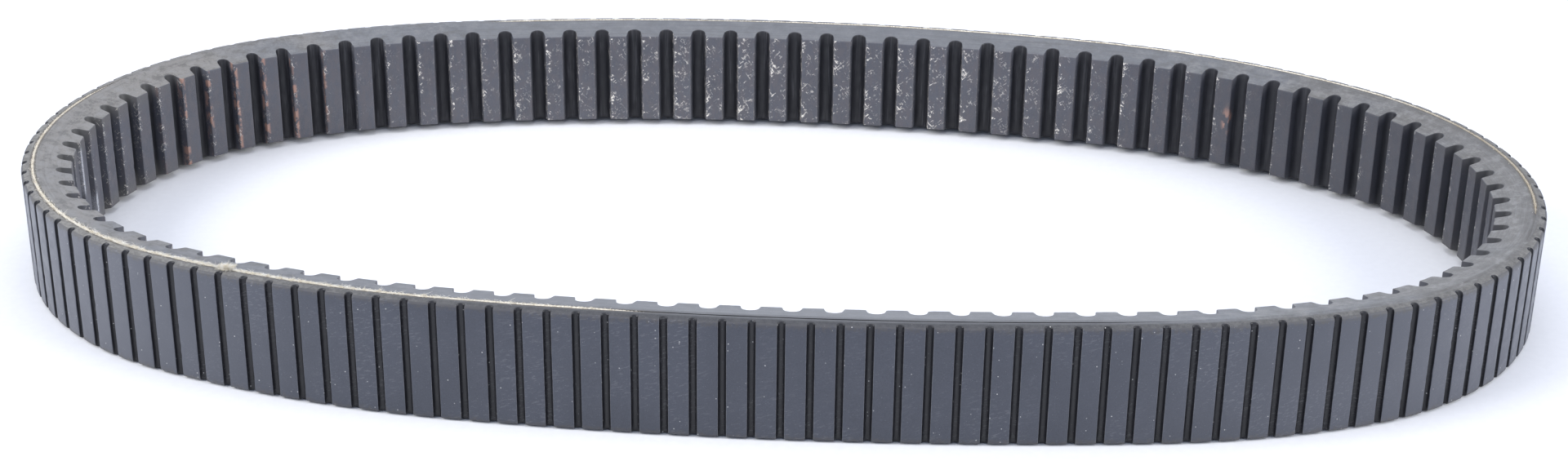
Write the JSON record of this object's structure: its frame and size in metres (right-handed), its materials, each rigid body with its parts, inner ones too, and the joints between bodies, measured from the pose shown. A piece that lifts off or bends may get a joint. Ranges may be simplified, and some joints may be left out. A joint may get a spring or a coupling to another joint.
{
  "type": "double-cogged v-belt",
  "caption": "Raw-edge V-belt for a variable-speed drive, cogged inside and out, with tensile cords between gum plies and one cord turn frayed open along its edge.",
  "frame": {"origin": "middle of the loop's box, at the height of the edge that the belt stands on", "axes": "+Z across the belt's width, from the lower edge up; +X along the longer way across the loop; +Y to the back of the loop"},
  "size_m": [0.4726, 0.2466, 0.038],
  "materials": {
    "outer_rubber": "smooth moulded, slightly satin, dusty",
    "inner_rubber": "moulded cogs with ground matte flanks",
    "gum": "matte, ground at the edges",
    "cord": "twisted aramid yarn",
    "frayed_cord": "cut and frayed aramid yarn"
  },
  "bodies": {
    "root": {"outer_cog_rubber": "outer_rubber", "outer_cushion_gum": "gum", "cord_s_twist": "cord", "cord_z_twist": "cord", "top_edge_cord": "frayed_cord", "bottom_edge_cord": "frayed_cord", "inner_cushion_gum": "gum", "inner_cog_rubber": "inner_rubber"}
  },
  "joints": []
}
